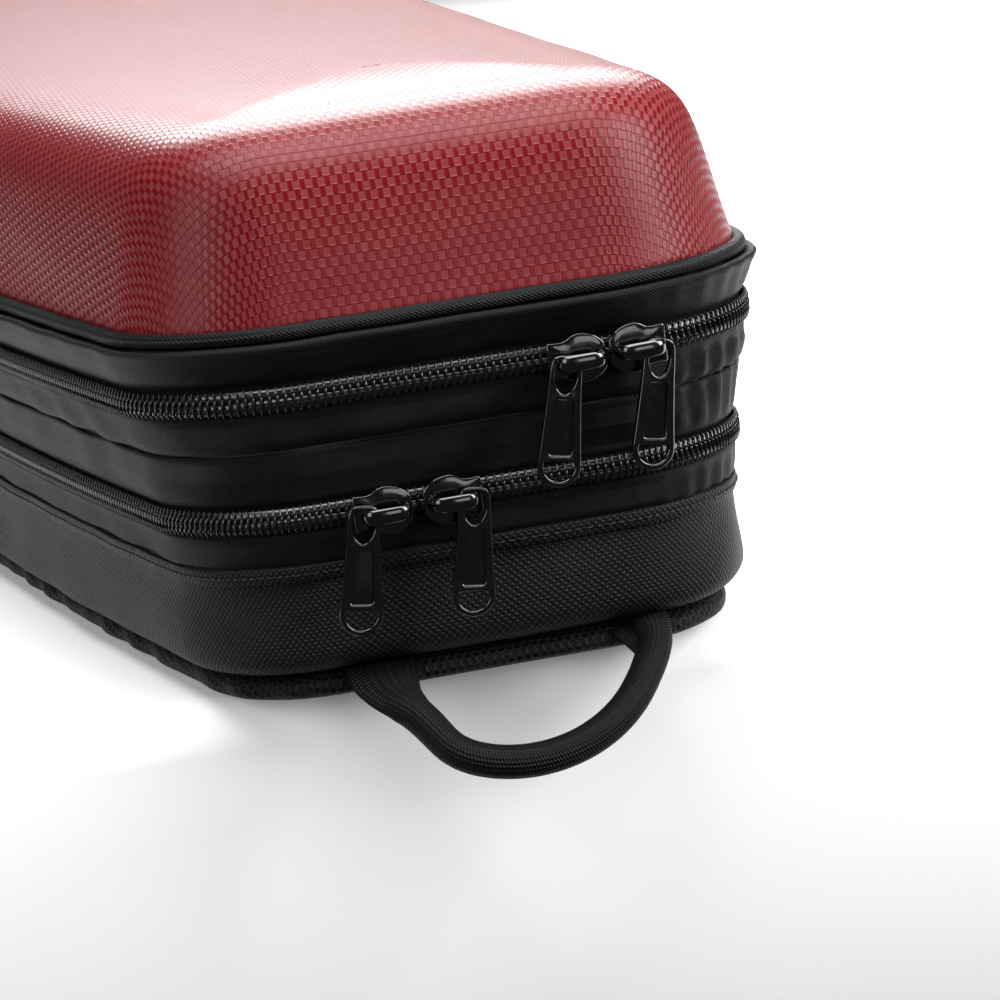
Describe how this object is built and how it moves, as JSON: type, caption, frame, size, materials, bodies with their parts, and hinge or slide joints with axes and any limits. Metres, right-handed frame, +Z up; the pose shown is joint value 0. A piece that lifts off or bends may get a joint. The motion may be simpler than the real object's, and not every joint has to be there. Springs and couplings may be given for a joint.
{
  "type": "violin case",
  "caption": "Half-moon violin case with a domed red lid, a zipped music compartment over the main compartment, a padded mesh back and a webbing end loop.",
  "frame": {"origin": "on the flat of the mesh back that the case lies on, midway along the case, 92.7 mm in front of the hinged side", "axes": "+X along the case to the narrow scroll end, +Y to the hinged side, +Z up through the lid"},
  "size_m": [0.813, 0.2744, 0.1871],
  "materials": {
    "red_weave": "woven red tape cloth with a slight sheen",
    "black_nylon": "ballistic nylon, coarse basket weave",
    "black_tape": "herringbone zip tape",
    "welt_cord": "ribbed piping",
    "spacer_mesh": "hexagonal spacer mesh",
    "coil_nylon": "moulded nylon coil",
    "black_metal": "gloss black lacquer on cast zinc",
    "webbing": "nylon webbing",
    "hinge_cloth": "plain woven binding",
    "plush_lining": "short grey plush over foam"
  },
  "bodies": {
    "base": {"base_shell": "black_nylon", "mesh_back_pad": "spacer_mesh", "body_hem": "black_nylon", "base_zip_tape": "black_tape", "base_zip_chain": "coil_nylon", "base_hinge_cloth": "hinge_cloth", "foam_bed": "plush_lining", "carry_anchor_bout": "webbing", "carry_anchor_scroll": "webbing", "ring_tab_scroll": "webbing", "ring_tab_bout": "webbing"},
    "middle": {"middle_frame": "black_nylon", "inner_panel": "plush_lining", "middle_tape_lower": "black_tape", "middle_tape_upper": "black_tape", "middle_zip_chain_lower": "coil_nylon", "middle_zip_chain_upper": "coil_nylon", "middle_hinge_cloth_lower": "hinge_cloth", "middle_hinge_cloth_upper": "hinge_cloth", "bow_pocket_front": "plush_lining", "bow_pocket_rear": "plush_lining"},
    "lid": {"lid_shell": "red_weave", "lid_zip_tape": "black_tape", "lid_piping": "welt_cord", "lid_zip_chain": "coil_nylon", "lid_hinge_cloth": "hinge_cloth"},
    "lid_slider_left": {"slider_lid_left": "black_metal"},
    "lid_slider_right": {"slider_lid_right": "black_metal"},
    "base_slider_left": {"slider_base_left": "black_metal"},
    "base_slider_right": {"slider_base_right": "black_metal"},
    "lid_pull_left": {"pull_lid_left": "black_metal"},
    "lid_pull_right": {"pull_lid_right": "black_metal"},
    "base_pull_left": {"pull_base_left": "black_metal"},
    "base_pull_right": {"pull_base_right": "black_metal"},
    "end_loop": {"end_loop": "webbing"},
    "carry_handle": {"carry_handle": "webbing"},
    "strap_ring_scroll": {"ring_scroll": "black_metal"},
    "strap_ring_bout": {"ring_bout": "black_metal"},
    "accessory_lid": {"box_lid": "plush_lining"},
    "neck_strap": {"neck_strap": "webbing"},
    "bow_toggle_front": {"bow_toggle_front": "plush_lining"},
    "bow_toggle_rear": {"bow_toggle_rear": "plush_lining"}
  },
  "joints": [
    {"name": "middle_opens", "type": "hinge", "parent": "base", "child": "middle", "pos_m": [0, 0.0868, 0.0543], "axis": [-1, 0, 0], "range_deg": [0, 100]},
    {"name": "lid_opens", "type": "hinge", "parent": "middle", "child": "lid", "pos_m": [0, 0.0933, 0.0888], "axis": [-1, 0, 0], "range_deg": [0, 100]},
    {"name": "lid_slider_left_runs", "type": "slide", "parent": "middle", "child": "lid_slider_left", "axis": [0, -1, 0], "range_m": [0, 0.068]},
    {"name": "lid_slider_right_runs", "type": "hinge", "parent": "middle", "child": "lid_slider_right", "pos_m": [0.344, 0.0417, 0.0888], "axis": [0, 0, 1], "range_deg": [0, 45]},
    {"name": "base_slider_left_runs", "type": "slide", "parent": "base", "child": "base_slider_left", "axis": [0, -1, 0], "range_m": [0, 0.016]},
    {"name": "base_slider_right_runs", "type": "slide", "parent": "base", "child": "base_slider_right", "axis": [0, 1, 0], "range_m": [0, 0.047]},
    {"name": "lid_pull_left_swings", "type": "hinge", "parent": "lid_slider_left", "child": "lid_pull_left", "pos_m": [0.4, 0.0254, 0.0888], "axis": [0, -1, 0], "range_deg": [0, 32]},
    {"name": "lid_pull_right_swings", "type": "hinge", "parent": "lid_slider_right", "child": "lid_pull_right", "pos_m": [0.39887, 0.05417, 0.0888], "axis": [0.1252, -0.9921, 0], "range_deg": [0, 32]},
    {"name": "base_pull_left_swings", "type": "hinge", "parent": "base_slider_left", "child": "base_pull_left", "pos_m": [0.3935, -0.0303, 0.0543], "axis": [0, -1, 0], "range_deg": [0, 32]},
    {"name": "base_pull_right_swings", "type": "hinge", "parent": "base_slider_right", "child": "base_pull_right", "pos_m": [0.3935, -0.0021, 0.0543], "axis": [0, -1, 0], "range_deg": [0, 32]},
    {"name": "end_loop_swings", "type": "hinge", "parent": "base", "child": "end_loop", "pos_m": [0.3795, 0.0075, 0.0065], "axis": [0, -1, 0], "range_deg": [-35, 80]},
    {"name": "carry_handle_swings", "type": "hinge", "parent": "base", "child": "carry_handle", "pos_m": [-0.04074, -0.15497, 0.033], "axis": [-0.995, -0.0999, 0], "range_deg": [0, 145]},
    {"name": "strap_ring_scroll_swings", "type": "hinge", "parent": "base", "child": "strap_ring_scroll", "pos_m": [0.215, 0.0866, 0.03], "axis": [1, 0, 0], "range_deg": [-6, 100]},
    {"name": "strap_ring_bout_swings", "type": "hinge", "parent": "base", "child": "strap_ring_bout", "pos_m": [-0.215, 0.0866, 0.03], "axis": [1, 0, 0], "range_deg": [-6, 100]},
    {"name": "accessory_lid_opens", "type": "hinge", "parent": "base", "child": "accessory_lid", "pos_m": [0.1, 0.072, 0.0458], "axis": [-1, 0, 0], "range_deg": [0, 90]},
    {"name": "neck_strap_opens", "type": "hinge", "parent": "base", "child": "neck_strap", "pos_m": [0.124, -0.01, 0.0454], "axis": [-1, 0, 0], "range_deg": [0, 92]},
    {"name": "bow_toggle_front_turns", "type": "hinge", "parent": "middle", "child": "bow_toggle_front", "pos_m": [-0.318, -0.06, 0.0983], "axis": [0, 0, 1], "range_deg": [0, 90]},
    {"name": "bow_toggle_rear_turns", "type": "hinge", "parent": "middle", "child": "bow_toggle_rear", "pos_m": [-0.318, 0.018, 0.0983], "axis": [0, 0, 1], "range_deg": [0, 90]}
  ]
}
